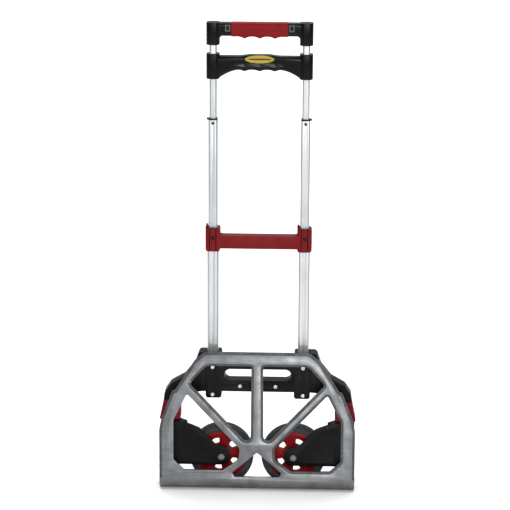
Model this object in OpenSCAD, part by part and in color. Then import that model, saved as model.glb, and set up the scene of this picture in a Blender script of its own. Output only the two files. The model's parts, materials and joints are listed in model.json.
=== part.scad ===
// Folding two-wheel hand truck with a telescopic handle.
// Shown folded for storage with the handle drawn out: the toe plate stands up in front
// and both wheels lie flat behind it. The ground is z = 0 and the front faces -Y.

/* [Overall] */
// Distance between the centre lines of the two telescopic tubes
tube_pitch = 178.4; // [160:0.1:214]
// Distance from the plane of the tubes to the front face of the toe plate
front_reach = 44; // [42:0.5:60]
// Distance from the plane of the tubes to the rearmost surface of the base
back_reach = 20; // [18:0.5:26]

/* [Tubes] */
// Length of the lower tubes
lower_l = 336.5; // [285:0.5:404]
// Width of the lower tubes
lower_w = 21; // [20:0.1:26]
// Depth of the lower tubes, front to back
lower_d = 27; // [26:0.1:33]
// Wall of every tube
tube_wall = 1.4; // [1.1:0.1:1.7]
// Free space on each side between one tube and the next, across the truck
side_gap = 0.4; // [0.3:0.1:0.5]
// Space between one tube and the next at the front and back, which the guide skirts fill
skirt_gap = 1.4; // [1.2:0.1:1.7]
// How far the middle tubes slide out of the lower ones
middle_travel = 207.5; // [170:0.5:249]
// How far the upper tubes slide out of the middle ones
upper_travel = 77; // [64:1:93]
// Length of upper tube that stays inside the middle tube
upper_overlap = 131; // [110:1:157]

/* [Handles] */
// Height of the sleeves of the top handle
sleeve_h = 43; // [36:0.5:52]
// Width of the sleeves of both handles
sleeve_w = 25.5; // [22:0.5:31]
// Depth of the sleeves of both handles, front to back
sleeve_d = 30; // [25:0.5:36]
// Height of the bar of the top handle
bar_h = 26; // [22:0.5:31]
// Depth of the bars of both handles
bar_d = 25; // [20:0.5:29]
// Length of the soft grip
grip_l = 109; // [90:1:131]
// Thickness of the soft grip
grip_t = 3; // [2:0.1:4]
// Height of the sleeves of the release bar
release_h = 48.5; // [40:0.5:58]
// Gap between the release bar and the top handle
release_gap = 17; // [14:0.5:21]
// Travel of the release bar
release_travel = 12; // [10:0.5:13]

/* [Crossbar] */
// Height of the clamps of the crossbar
clamp_h = 46; // [40:0.5:56]
// Wall of the clamps around the lower tubes
clamp_wall = 3.8; // [3.2:0.1:4.6]
// Height of the bar between the clamps
cross_h = 25.5; // [22:0.5:31]

/* [Toe plate] */
// Width of the toe plate
plate_w = 387; // [325:1:465]
// Height of the top edge of the folded toe plate above the ground
plate_top = 286; // [250:1:345]
// Thickness of the web of the plate
plate_t = 4.5; // [3.7:0.1:5.4]
// Height of the raised bands on the face of the plate
band_t = 1.5; // [1.2:0.1:1.8]
// Width of the low rim along every edge of the plate
rim_w = 5; // [4:0.5:6]
// Width of the solid border along the sides and the top of the plate
border_w = 28; // [23:0.5:34]
// Height of the solid band at the bottom of the plate, from the ground
foot_band_h = 42; // [36:0.5:50]
// Width of the upright rib in the middle of the plate
rib_w = 25; // [20:0.5:30]
// Width of the two slanted ribs
brace_w = 18; // [15:0.5:22]
// Outer radius of the rolled heel around the hinge rod
heel_r = 20; // [19:0.5:24]
// Diameter of the hinge rod
rod_d = 7; // [6:0.5:8]

/* [Wheels] */
// Diameter of the tyres
wheel_d = 127; // [106:1:152]
// Width of the tyres
tyre_w = 28; // [23:0.5:30]
// Radial thickness of the tyres
tyre_t = 14.5; // [12:0.5:17.5]
// Diameter of the axle bolts
axle_d = 10; // [8:0.5:12]
// Distance from the swing pin to the axle
arm_l = 99.5; // [90:0.5:119]

/* [Base] */
// Distance from the side edge of the toe plate in to the swing pin
pin_inset = 22.5; // [20:0.5:27]
// Diameter of the swing pins
pin_d = 10; // [8:0.5:12]
// Radius of the barrel that turns on the swing pin
barrel_r = 13; // [11:0.5:13.5]
// Height of the underside of the barrel above the ground
barrel_z = 50; // [46:0.5:60]
// Height of the barrel
barrel_h = 86.7; // [84:0.1:104]
// Height of the pivot housings above the barrels
housing_h = 40; // [34:0.5:48]
// Wall of the moulded base pieces
base_wall = 3.3; // [2.8:0.1:4]
// Height of the tube sockets in the base
socket_h = 93; // [84:1:112]
// Length of the hand slot in the base
slot_l = 132; // [110:1:150]
// Height of the hand slot in the base
slot_h = 23.5; // [19:0.5:28]

/* [Hidden] */
$fn = 48;

// Segments of each rounded corner
corner_n = 6;
// Outer corner radius of the tubes
tube_corner = 3.2;
// Running clearance of a pin in its bush, on the radius
run = 0.06;
// Clearance between sliding pieces
slide = 0.3;
// Clearance between pieces that move past each other in the open
open_gap = 1.5;

// --- Colours
black_plastic = [0.07, 0.07, 0.075];
red_plastic = [0.5, 0.09, 0.1];
red_rubber = [0.55, 0.08, 0.1];
anodised = [0.82, 0.83, 0.85];
cast_aluminium = [0.55, 0.55, 0.56];
steel = [0.66, 0.67, 0.69];
tyre_grey = [0.16, 0.16, 0.165];
nylon = [0.85, 0.84, 0.8];

// --- Places in depth. The tubes stand tube_y behind the middle of the whole truck
tube_y = (front_reach - back_reach) / 2;
plate_full_t = plate_t + band_t;
hinge_y = -front_reach + heel_r;
hinge_z = heel_r;
rod_r = rod_d / 2;

// --- Places across the truck
tube_x = tube_pitch / 2;
plate_x = plate_w / 2;
pin_x = plate_x - pin_inset;
wheel_x = pin_x - arm_l;
wheel_r = wheel_d / 2;
wheel_z = wheel_r;
socket_wall = base_wall + 2.2;
socket_x = tube_x + lower_w / 2 + socket_wall - 2.2;
socket_in_x = tube_x - lower_w / 2 - socket_wall - 1.6;

// --- Heights, from the ground up
barrel_top = barrel_z + barrel_h;
bush_flange = 1;
housing_z = barrel_top + bush_flange + slide;
base_z = housing_z + housing_h;
socket_z = base_z + 7;
socket_top = socket_z + socket_h;
cross_z = base_z + 20;
tube_seat = socket_z + 4;
flange_t = 3;
plug_t = 6;
ear_h = 4;
lower_top = tube_seat + lower_l;
clamp_top = lower_top + flange_t;
clamp_z = clamp_top - clamp_h;
middle_top = clamp_top + ear_h + 0.5 + middle_travel;
middle_z = tube_seat + 3 + plug_t + middle_travel;
collar_top = middle_top + flange_t;
upper_z = collar_top - upper_overlap;
release_z = collar_top + upper_travel;
release_top = release_z + release_h;
handle_top = release_top + release_gap + sleeve_h;

// --- Tubes, each inside the one below
middle_w = lower_w - 2 * tube_wall - 2 * side_gap;
middle_d = lower_d - 2 * tube_wall - 2 * skirt_gap;
upper_w = middle_w - 2 * tube_wall - 2 * side_gap;
upper_d = middle_d - 2 * tube_wall - 2 * skirt_gap;
bore_w = upper_w - 2 * tube_wall;
bore_d = upper_d - 2 * tube_wall;
skirt_t = skirt_gap - slide;

// ---------------------------------------------------------------- helpers

function unit(v) = v / norm(v);

// Arc of n steps from angle a0 to a1 around c
function arc(c, r, a0, a1, n) =
    [for (i = [0:n]) let(a = a0 + (a1 - a0) * i / n) c + r * [cos(a), sin(a)]];

// One rounded corner at p between its neighbours a and b
function corner(a, p, b, r) =
    let(
        ua = unit(a - p),
        ub = unit(b - p),
        half = acos(ua * ub) / 2,
        reach = r / tan(half),
        c = p + unit(ua + ub) * r / sin(half),
        s = p + ua * reach - c,
        e = p + ub * reach - c,
        a0 = atan2(s.y, s.x),
        turn = (atan2(e.y, e.x) - a0 + 540) % 360 - 180
    )
    r < 0.05 ? [p] : arc(c, r, a0, a0 + turn, corner_n);

// Outline with rounded corners, from a list of [x, y, radius]
function rounded(p) =
    let(n = len(p))
    [for (i = [0:n - 1])
        each corner([p[(i + n - 1) % n].x, p[(i + n - 1) % n].y], [p[i].x, p[i].y],
            [p[(i + 1) % n].x, p[(i + 1) % n].y], p[i][2])];

// The same outline moved outwards by d, for points that run anticlockwise
function grown(p, d) =
    let(n = len(p))
    [for (i = [0:n - 1])
        let(
            q = [p[i].x, p[i].y],
            u = unit(q - [p[(i + n - 1) % n].x, p[(i + n - 1) % n].y]),
            v = unit([p[(i + 1) % n].x, p[(i + 1) % n].y] - q),
            nu = [u.y, -u.x],
            nv = [v.y, -v.x],
            moved = q + (nu + nv) * d / (1 + nu * nv),
            convex = u.x * v.y - u.y * v.x > 0 ? 1 : -1
        )
        [moved.x, moved.y, max(0.8, p[i][2] + convex * d)]];

function mirrored(p) = [for (i = [len(p) - 1:-1:0]) [-p[i].x, p[i].y, p[i][2]]];

// Rectangle centred on the origin with rounded corners
function block(w, d, r) =
    rounded([[-w / 2, -d / 2, r], [w / 2, -d / 2, r], [w / 2, d / 2, r], [-w / 2, d / 2, r]]);

// Moves a piece from the plane of the tubes to the origin of the truck
module at_tubes() {
    translate([0, tube_y, 0])
        children();
}

// Pieces are drawn for the right side; side -1 mirrors them to the left
module on_side(side) {
    mirror([side < 0 ? 1 : 0, 0, 0])
        children();
}

// Upright plate with its outline in x and z, from y0 back to y1
module upright(y0, y1, points) {
    translate([0, y1, 0])
        rotate([90, 0, 0])
            linear_extrude(y1 - y0)
                polygon(points);
}

// Bar along x with its outline in y and z, from x0 to x1
module along_x(x0, x1, points) {
    translate([x0, 0, 0])
        rotate([90, 0, 90])
            linear_extrude(x1 - x0)
                polygon(points);
}

// Round bar along y or x
module rod_y(x, z, y0, y1, r) {
    translate([x, y0, z])
        rotate([-90, 0, 0])
            cylinder(h = y1 - y0, r = r);
}

module rod_x(y, z, x0, x1, r) {
    translate([x0, y, z])
        rotate([0, 90, 0])
            cylinder(h = x1 - x0, r = r);
}

module box(x0, x1, y0, y1, z0, z1) {
    translate([x0, y0, z0])
        cube([x1 - x0, y1 - y0, z1 - z0]);
}

// Upright tube with rounded corners around a rectangular bore
module tube(w, d, wall, z0, z1) {
    translate([tube_x, 0, z0])
        difference() {
            linear_extrude(z1 - z0)
                polygon(block(w, d, tube_corner));
            translate([0, 0, -1])
                linear_extrude(z1 - z0 + 2)
                    polygon(block(w - 2 * wall, d - 2 * wall, tube_corner - wall));
        }
}

// Upright block centred on the tube
module tube_block(w, d, r, z0, z1) {
    translate([tube_x, 0, z0])
        linear_extrude(z1 - z0)
            polygon(block(w, d, r));
}

// Coil of round wire around an upright axis, with closed flat ends
module coil(r, wire_r, z0, z1, turns) {
    sides = 8;
    steps = 14;
    rings = turns * steps;
    rise = (z1 - z0 - 2 * wire_r) / rings;
    points = [for (i = [0:rings], k = [0:sides - 1])
        let(a = 360 * i / steps, b = 360 * k / sides, q = r + wire_r * cos(b))
        [q * cos(a), q * sin(a), z0 + wire_r + i * rise + wire_r * sin(b)]];
    skin = [for (i = [0:rings - 1], k = [0:sides - 1])
        let(n = (k + 1) % sides)
        [i * sides + k, (i + 1) * sides + k, (i + 1) * sides + n, i * sides + n]];
    start = [[for (k = [0:sides - 1]) k]];
    end = [[for (k = [sides - 1:-1:0]) rings * sides + k]];
    polyhedron(points, concat(start, skin, end), convexity = 6);
}

// ---------------------------------------------------------------- base

// Screws on the front of the base: [x, z]
socket_screw_z = [socket_z + 7, socket_z + socket_h * 0.68];
bar_screw = [35, cross_z + 11];
screw_r = 2;
head_r = 3.6;
head_t = 2.2;
base_front = -socket_wall - lower_d / 2 + 1;
bar_front = base_front + 2;
bar_back = back_reach - 6;
bar_top = socket_top - 15;
slot_z = cross_z + 22.5;

// Black moulded crosspiece: two tube sockets joined by a deep bar with a hand slot
module base_crosspiece() {
    color(black_plastic) at_tubes() difference() {
        union() {
            for (side = [-1, 1])
                on_side(side)
                    upright(base_front, back_reach - 1, rounded([
                        [socket_in_x, socket_z, 5], [socket_x, socket_z, 5],
                        [socket_x, socket_top, 2], [socket_in_x, socket_top, 4]]));
            upright(bar_front, bar_back, rounded([
                [-socket_in_x - 2, cross_z, 0], [socket_in_x + 2, cross_z, 0],
                [socket_in_x + 2, bar_top, 0], [-socket_in_x - 2, bar_top, 0]]));
            box(-socket_in_x - 1, socket_in_x + 1, bar_front - 1.2, bar_front + 1,
                cross_z + 15, cross_z + 20);
        }
        hand_slot();
        for (x0 = [-socket_in_x + base_wall, base_wall / 2])
            box(x0, x0 + socket_in_x - 1.5 * base_wall, bar_front + base_wall, bar_back + 1,
                cross_z + base_wall, slot_z - 2 * base_wall);
        for (side = [-1, 1])
            on_side(side) {
                tube_block(lower_w + 0.1, lower_d + 0.1, tube_corner, tube_seat, socket_top + 1);
                for (z = socket_screw_z)
                    rod_y(tube_x, z, base_front - 1, 0, screw_r);
                rod_y(bar_screw.x, bar_screw.y, bar_front - 1, bar_front + base_wall + 1, screw_r);
                for (z = bolt_z)
                    rod_x(0, z, socket_x - 3, socket_x + 1, bolt_r);
            }
    }
}

// Slot for the hand through the bar, with round ends
module hand_slot() {
    half = (slot_l - slot_h) / 2;
    for (x = [-half, half])
        rod_y(x, slot_z + slot_h / 2, bar_front - 3, bar_back + 2, slot_h / 2);
    box(-half, half, bar_front - 3, bar_back + 2, slot_z, slot_z + slot_h);
}

// Shoulders carry the load out from the sockets to the swing pins
shoulder_front = base_front + 1.5;
shoulder_back = back_reach - 3;
bolt_z = [cross_z + 22, socket_top - 26];
bolt_r = 2.5;
shoulder_span = pin_x - socket_x;
// Places and radii of the outline's bends, as shares of the span
bend_low = shoulder_span * 12 / 68;
bend_foot_r = shoulder_span * 14 / 68;
bend_mid = shoulder_span * 42 / 68;
bend_high = shoulder_span * 22 / 68;
bend_high_r = shoulder_span * 20 / 68;
bend_top = shoulder_span * 13 / 68;
bend_r = shoulder_span * 8 / 68;
shoulder_line = [
    [socket_x, cross_z, 0], [socket_x + bend_low, cross_z - 1, bend_r],
    [pin_x - 18, base_z + 12, bend_foot_r], [pin_x - 18, base_z, 0], [pin_x + 15.5, base_z, 0],
    [pin_x + 13.5, base_z + 16, 10], [pin_x + 2, base_z + 33, 14],
    [socket_x + bend_mid, base_z + 49, 10], [socket_x + bend_high, base_z + 74, bend_high_r],
    [socket_x + bend_top, socket_top, bend_r], [socket_x, socket_top, 0]];

module shoulder() {
    difference() {
        upright(shoulder_front, shoulder_back, rounded(shoulder_line));
        upright(shoulder_front + base_wall, shoulder_back + 1, rounded(grown(shoulder_line, -base_wall)));
        for (z = bolt_z)
            rod_x(0, z, socket_x - 1, socket_x + base_wall + 1, bolt_r + 0.05);
        translate([pin_x, 0, base_z - 1])
            cylinder(h = base_wall + 2, r = bolt_r + 0.05);
    }
}

module shoulder_left() {
    color(black_plastic) at_tubes() on_side(-1) shoulder();
}

module shoulder_right() {
    color(black_plastic) at_tubes() on_side(1) shoulder();
}

// Red pivot housings: solid blocks under the shoulders that hold the tops of the swing pins
housing_front = shoulder_front + 0.5;
housing_back = shoulder_back - 1;
pin_depth = 24;

module pivot_housing() {
    difference() {
        upright(housing_front, housing_back, rounded([
            [pin_x - 18, housing_z, 3], [pin_x + 24, housing_z, 3],
            [pin_x + 15.5, base_z, 1], [pin_x - 18, base_z, 1]]));
        for (z = [housing_z + 10, housing_z + 20, housing_z + 30])
            box(pin_x - 19, pin_x + 26, housing_front - 1, housing_front + 1, z, z + 1.6);
        translate([pin_x, 0, housing_z - 1])
            cylinder(h = pin_depth + 1, r = pin_d / 2);
        translate([pin_x, 0, base_z - 10])
            cylinder(h = 11, r = bolt_r);
        translate([leg_screw_x, leg_screw_y, housing_z - 1])
            cylinder(h = 13, r = screw_r);
    }
}

module pivot_housing_left() {
    color(red_plastic) at_tubes() on_side(-1) pivot_housing();
}

module pivot_housing_right() {
    color(red_plastic) at_tubes() on_side(1) pivot_housing();
}

// Side legs: an outer web with an ear for the swing pin and an arm forward to the hinge rod
leg_out = pin_x + 21.5;
leg_in = pin_x + barrel_r + open_gap;
leg_front = hinge_y + heel_r + open_gap;
leg_back = 13;
leg_screw_x = (leg_in + leg_out) / 2;
leg_screw_y = leg_back - 4;
ear_z = barrel_z - 18;
ear_t = 8;
hinge_hub_r = heel_r - plate_full_t - 2;
foot_z = 1;

module side_leg() {
    difference() {
        union() {
            along_x(leg_in, leg_out, concat(
                [[leg_back, foot_z], [leg_back, housing_z], [leg_front, housing_z]],
                [[leg_front, ear_z + ear_t + 14]],
                arc([hinge_y, hinge_z], hinge_hub_r, 120, 380, 20),
                [[leg_front, hinge_z + hinge_hub_r * sin(20)], [leg_front, foot_z]]));
            translate([pin_x, 0, ear_z])
                cylinder(h = ear_t, r = barrel_r);
            box(pin_x, leg_in + 1, -barrel_r, barrel_r, ear_z, ear_z + ear_t);
        }
        translate([pin_x, 0, ear_z - 1])
            cylinder(h = ear_t + 2, r = pin_d / 2);
        rod_x(hinge_y, hinge_z, leg_in - 1, leg_out + 1, rod_r);
        translate([leg_screw_x, leg_screw_y, housing_z - 14])
            cylinder(h = 15, r = screw_r);
    }
}

module side_leg_left() {
    color(black_plastic) at_tubes() on_side(-1) side_leg();
}

module side_leg_right() {
    color(black_plastic) at_tubes() on_side(1) side_leg();
}

// Round-head screw along y with its head in front and a cross recess
module front_screw(x, z, face, depth) {
    difference() {
        union() {
            rod_y(x, z, face - head_t, face, head_r);
            rod_y(x, z, face - 0.5, face + depth, screw_r);
        }
        box(x - 2.2, x + 2.2, face - head_t - 1, face - head_t + 0.9, z - 0.4, z + 0.4);
        box(x - 0.4, x + 0.4, face - head_t - 1, face - head_t + 0.9, z - 2.2, z + 2.2);
    }
}

module base_screws() {
    color(steel) at_tubes() for (side = [-1, 1])
        on_side(side) {
            for (z = socket_screw_z)
                front_screw(tube_x, z, base_front, socket_wall + tube_wall - 1);
            front_screw(bar_screw.x, bar_screw.y, bar_front, base_wall);
        }
}

// Bolts inside the shoulders, and the screws that tie each leg to its housing
module bracket_bolts() {
    color(steel) at_tubes() for (side = [-1, 1])
        on_side(side) {
            for (z = bolt_z) {
                rod_x(0, z, socket_x - 2.8, socket_x + base_wall + 0.5, bolt_r);
                rod_x(0, z, socket_x + base_wall, socket_x + base_wall + 3.5, 4.5);
            }
            translate([pin_x, 0, base_z - 9])
                cylinder(h = 9 + base_wall + 0.5, r = bolt_r);
            translate([pin_x, 0, base_z + base_wall])
                cylinder(h = 3.5, r = 4.5);
            translate([leg_screw_x, leg_screw_y, housing_z - 13])
                cylinder(h = 24, r = screw_r);
        }
}

module hinge_rod() {
    color(steel) at_tubes() rod_x(hinge_y, hinge_z, -leg_out - 1, leg_out + 1, rod_r);
}

// Push-on caps that keep the rod in the legs
module rod_clips() {
    color(steel) at_tubes() for (side = [-1, 1])
        on_side(side) difference() {
            rod_x(hinge_y, hinge_z, leg_out, leg_out + 2, rod_r + 2.8);
            rod_x(hinge_y, hinge_z, leg_out - 1, leg_out + 1, rod_r);
        }
}

module swing_pin() {
    translate([pin_x, 0, ear_z - 3])
        cylinder(h = 3, r = pin_d / 2 + 2.5);
    translate([pin_x, 0, ear_z - 0.5])
        cylinder(h = housing_z + pin_depth - ear_z, r = pin_d / 2);
}

module swing_pin_left() {
    color(steel) at_tubes() on_side(-1) swing_pin();
}

module swing_pin_right() {
    color(steel) at_tubes() on_side(1) swing_pin();
}

// Torsion spring around the foot of the swing pin, under the barrel
module swing_spring() {
    wire_r = 0.9;
    translate([pin_x, 0, 0])
        coil(pin_d / 2 + wire_r + 0.4, wire_r, ear_z + ear_t, barrel_z - bush_flange - slide, 3);
}

module swing_spring_left() {
    color(steel) at_tubes() on_side(-1) swing_spring();
}

module swing_spring_right() {
    color(steel) at_tubes() on_side(1) swing_spring();
}

// ---------------------------------------------------------------- telescopic tubes

module lower_tube() {
    difference() {
        tube(lower_w, lower_d, tube_wall, tube_seat, lower_top);
        rod_y(tube_x, clamp_screw_z, -lower_d, 0, screw_r);
        for (z = socket_screw_z)
            rod_y(tube_x, z, -lower_d, 0, screw_r);
    }
}

module lower_tube_left() {
    color(anodised) at_tubes() on_side(-1) lower_tube();
}

module lower_tube_right() {
    color(anodised) at_tubes() on_side(1) lower_tube();
}

// Guide: a flange on the end of the outer tube and two skirts beside the inner tube
module guide(outer_w, outer_d, inner_w, inner_d, top, skirt_h) {
    difference() {
        tube_block(outer_w, outer_d, tube_corner, top, top + flange_t);
        tube_block(inner_w + 2 * slide, inner_d + 2 * slide, tube_corner, top - 1, top + flange_t + 1);
    }
    for (y = [-1, 1])
        translate([0, y * (inner_d / 2 + slide + skirt_t / 2), 0])
            tube_block(inner_w - 5, skirt_t, 0, top - skirt_h, top + 1);
}

module lower_guides() {
    color(black_plastic) at_tubes() for (side = [-1, 1])
        on_side(side)
            guide(lower_w, lower_d, middle_w, middle_d, lower_top, 16);
}

// Red crossbar: two clamps around the tops of the lower tubes, joined by a bar
clamp_w = lower_w + 2 * clamp_wall;
clamp_d = lower_d + 2 * clamp_wall;
clamp_screw_z = clamp_z + 27;
cross_bar_z = clamp_z + 6;
cross_front = 1.5 - clamp_d / 2;
cross_back = clamp_d / 2 - 10;
cross_wall = 3;
cross_rib_x = [-44, 0, 44];
cross_flare = 6;
ear_w = 4.4;

module crossbar() {
    color(red_plastic) at_tubes() difference() {
        union() {
            for (side = [-1, 1])
                on_side(side) {
                    tube_block(clamp_w, clamp_d - 2, 5, clamp_z, clamp_top);
                    tube_block(7, clamp_d, 2, clamp_z + 2, clamp_top - 2);
                }
            for (side = [-1, 1])
                translate([side * tube_x - clamp_w / 2 + ear_w / 2, 0, clamp_top - 3])
                    linear_extrude(3 + ear_h)
                        polygon(block(ear_w, clamp_d - 12, 1.5));
            difference() {
                upright(cross_front, cross_back, [
                    [-tube_x + 5, cross_bar_z], [tube_x - 5, cross_bar_z],
                    [tube_x - 5, cross_bar_z + cross_h + 3],
                    [tube_x - clamp_w / 2 - cross_flare, cross_bar_z + cross_h],
                    [-tube_x + clamp_w / 2 + cross_flare, cross_bar_z + cross_h],
                    [-tube_x + 5, cross_bar_z + cross_h + 3]]);
                box(-tube_x + clamp_w / 2 + cross_wall, tube_x - clamp_w / 2 - cross_wall,
                    cross_front + cross_wall, cross_back + 1,
                    cross_bar_z + cross_wall, cross_bar_z + cross_h - cross_wall);
            }
            for (x = cross_rib_x)
                box(x - 1, x + 1, cross_front + 1.5, cross_back - 1,
                    cross_bar_z + 1, cross_bar_z + cross_h - 1);
        }
        for (side = [-1, 1])
            on_side(side) {
                tube_block(lower_w, lower_d, tube_corner, clamp_z - 1, lower_top + flange_t + 5);
                rod_y(tube_x, clamp_screw_z, -clamp_d, 0, screw_r);
                rod_y(tube_x, clamp_screw_z, -clamp_d, 2 - clamp_d / 2, head_r + 0.3);
            }
    }
}

module crossbar_screws() {
    color(steel) at_tubes() for (side = [-1, 1])
        on_side(side)
            front_screw(tube_x, clamp_screw_z, 2 - clamp_d / 2, clamp_wall + tube_wall - 2.2);
}

// Lock holes in the back of the middle tubes, one for each stop of the upper tubes
lock_z = upper_z - 7;
lock_r = 3;
nub_z = middle_top - 6;
nub_r = 2.6;
tab_l = 3.4;

module middle_tube() {
    difference() {
        tube(middle_w, middle_d, tube_wall, middle_z, middle_top);
        for (z = [lock_z, lock_z - upper_travel])
            rod_y(tube_x, z, 0, middle_d, lock_r + 0.3);
        rod_y(tube_x, nub_z, -middle_d, 0, nub_r + 0.1);
    }
}

module middle_tube_left() {
    color(anodised) at_tubes() on_side(-1) middle_tube();
}

module middle_tube_right() {
    color(anodised) at_tubes() on_side(1) middle_tube();
}

// Collar on the top of a middle tube, held by a round nub that snaps into the front wall
module collar() {
    guide(middle_w, middle_d, upper_w, upper_d, middle_top, 14);
    rod_y(tube_x, nub_z, -middle_d / 2 - slide / 2, -upper_d / 2 - slide - 0.1, nub_r);
    box(tube_x + middle_w / 2 - 0.5, tube_x + middle_w / 2 + tab_l, -4, 4, middle_top, collar_top);
}

module collar_left() {
    color(black_plastic) at_tubes() on_side(-1) collar();
}

module collar_right() {
    color(black_plastic) at_tubes() on_side(1) collar();
}

// Glide plugs in the feet of the middle tubes, which run on the walls of the lower tubes
module middle_plugs() {
    plug_w = middle_w - 2 * tube_wall;
    plug_d = middle_d - 2 * tube_wall;
    color(black_plastic) at_tubes() for (side = [-1, 1])
        on_side(side) difference() {
            union() {
                tube_block(plug_w, plug_d, 1.8, middle_z - 1, middle_z + 14);
                tube_block(middle_w, middle_d + 2 * skirt_t, 2.6, middle_z - plug_t, middle_z);
            }
            tube_block(plug_w - 4, plug_d - 4, 1, middle_z - plug_t - 1, middle_z + 15);
        }
}

// The upper tubes have a slot in the inner wall for the tongues of the release bar
tongue_w = 5;
tongue_h = 8;
tongue_z = release_z + release_h / 2;

module upper_tube() {
    difference() {
        tube(upper_w, upper_d, tube_wall, upper_z, handle_top - 4);
        box(tube_x - upper_w, tube_x - upper_w / 2 + tube_wall + 0.5,
            -tongue_w / 2 - slide, tongue_w / 2 + slide,
            tongue_z - tongue_h / 2 - open_gap, tongue_z + tongue_h / 2 + release_travel + open_gap);
        rod_y(tube_x, handle_screw_z, 0, upper_d, screw_r);
    }
}

module upper_tube_left() {
    color(anodised) at_tubes() on_side(-1) upper_tube();
}

module upper_tube_right() {
    color(anodised) at_tubes() on_side(1) upper_tube();
}

// ---------------------------------------------------------------- handles

handle_screw_z = handle_top - sleeve_h + 14;
bar_z = handle_top - bar_h;

// Black top handle: two sleeves over the tubes and a bar, thinner where the grip sits
module top_handle() {
    color(black_plastic) at_tubes() difference() {
        union() {
            for (side = [-1, 1])
                on_side(side) {
                    tube_block(sleeve_w, sleeve_d, 8, handle_top - sleeve_h, handle_top);
                    along_x(grip_l / 2, tube_x, rounded([
                        [-bar_d / 2, bar_z, 6], [bar_d / 2, bar_z, 6],
                        [bar_d / 2, handle_top, 5], [-bar_d / 2, handle_top, 5]]));
                }
            along_x(-grip_l / 2 - 1, grip_l / 2 + 1, grip_core());
        }
        for (side = [-1, 1])
            on_side(side) {
                tube_block(upper_w, upper_d, tube_corner, handle_top - sleeve_h - 1, handle_top - 4);
                rod_y(tube_x, handle_screw_z, 0, sleeve_d, screw_r);
                box(insert_x, insert_x + insert_l, -bar_d, 1 - bar_d / 2, insert_z, insert_z + insert_h);
            }
    }
}

// Outline of the bar under the grip
function grip_core() = rounded([
    [grip_t - bar_d / 2, bar_z + grip_t, 5], [bar_d / 2 - grip_t, bar_z + grip_t, 5],
    [bar_d / 2 - grip_t, handle_top - grip_t, 4], [grip_t - bar_d / 2, handle_top - grip_t, 4]]);

// Grey inserts in the front of the bar, one at each end of the grip
insert_x = grip_l / 2 + 1.5;
insert_l = 10;
insert_h = 13;
insert_z = bar_z + 9;

module handle_inserts() {
    color([0.2, 0.21, 0.22]) at_tubes() for (side = [-1, 1])
        on_side(side)
            box(insert_x, insert_x + insert_l, -bar_d / 2, 1 - bar_d / 2, insert_z, insert_z + insert_h);
}

// Finger rests under a handle: hollows one pitch wide with a crest of the given depth between them
function fingers(z, reach, depth, pitch) =
    let(n = 48)
    [for (i = [0:n])
        let(x = -reach + 2 * reach * i / n, edge = min(1, (reach - abs(x)) / 12))
        [x, z - depth * edge * (1 - abs(sin(180 * x / pitch)))]];

grip_wave = 4;
finger_pitch = 29;

module grip() {
    color(red_rubber) at_tubes() difference() {
        union() {
            along_x(-grip_l / 2, grip_l / 2, rounded([
                [-bar_d / 2 - 1, bar_z - 1, 7], [bar_d / 2 + 1, bar_z - 1, 7],
                [bar_d / 2 + 1, handle_top, 6], [-bar_d / 2 - 1, handle_top, 6]]));
            upright(4 - bar_d / 2, bar_d / 2 - 4, concat(
                fingers(bar_z - 1, grip_l / 2 - 2, grip_wave, finger_pitch),
                [[grip_l / 2 - 2, bar_z + 2], [2 - grip_l / 2, bar_z + 2]]));
        }
        along_x(-grip_l / 2 - 1, grip_l / 2 + 1, grip_core());
    }
}

module handle_screws() {
    color(steel) at_tubes() for (side = [-1, 1])
        on_side(side)
            translate([tube_x, sleeve_d / 2, handle_screw_z])
                rotate([90, 0, 0]) {
                    cylinder(h = sleeve_d / 2 - upper_d / 2 + tube_wall, r = screw_r);
                    translate([0, 0, -head_t + 0.5])
                        cylinder(h = head_t - 0.5, r = head_r);
                }
}

// Black release bar: sleeves that slide on the upper tubes and an arched bar with finger rests
release_bar_top = release_top - 4;
arch_z = release_z + 18.5;

module release_bar() {
    inner_x = tube_x - sleeve_w / 2;
    color(black_plastic) at_tubes() difference() {
        union() {
            for (side = [-1, 1])
                on_side(side) {
                    tube_block(sleeve_w, sleeve_d, 8, release_z, release_top);
                    tongue(tube_x - sleeve_w / 2 + 1);
                }
            upright(-bar_d / 2, bar_d / 2, concat(
                [[tube_x - 9, release_bar_top - 0.1], [-tube_x + 9, release_bar_top - 0.1]],
                [[-tube_x + 9, release_z + 2], [-inner_x, release_z + 2],
                    [8 - inner_x, release_z + 9.5], [18 - inner_x, release_z + 15.5]],
                fingers(arch_z, 52, 3, finger_pitch),
                [[inner_x - 18, release_z + 15.5], [inner_x - 8, release_z + 9.5],
                    [inner_x, release_z + 2], [tube_x - 9, release_z + 2]]));
            upright(-bar_d / 2 + 1, bar_d / 2 - 1, rounded([
                [-badge_w / 2 - 6, release_bar_top - 3, 0], [badge_w / 2 + 6, release_bar_top - 3, 0],
                [badge_w / 2 - 8, release_bar_top + 2.5, 8], [-badge_w / 2 + 8, release_bar_top + 2.5, 8]]));
        }
        for (side = [-1, 1])
            on_side(side)
                difference() {
                    tube_block(upper_w + 2 * slide, upper_d + 2 * slide, tube_corner,
                        release_z - 1, release_top + 1);
                    tongue(tube_x - sleeve_w);
                }
        badge_plate();
    }
}

// Tongue that reaches from the sleeve through the slot of the tube to the release rod
module tongue(x0) {
    box(x0, tube_x - bore_w / 2 + tongue_reach, -tongue_w / 2, tongue_w / 2,
        tongue_z - tongue_h / 2, tongue_z + tongue_h / 2);
}

// Oval plate on the front of the release bar, sunk into the moulding by its own seat
badge_w = 56;
badge_h = 15;
badge_t = 1.6;
badge_sunk = 1;
badge_z = release_bar_top - badge_h / 2 + 2;

module badge_plate() {
    translate([0, badge_sunk - bar_d / 2, badge_z])
        rotate([90, 0, 0])
            linear_extrude(badge_t)
                polygon([for (a = [0:7.5:352.5]) [badge_w / 2 * cos(a), badge_h / 2 * sin(a)]]);
}

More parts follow.
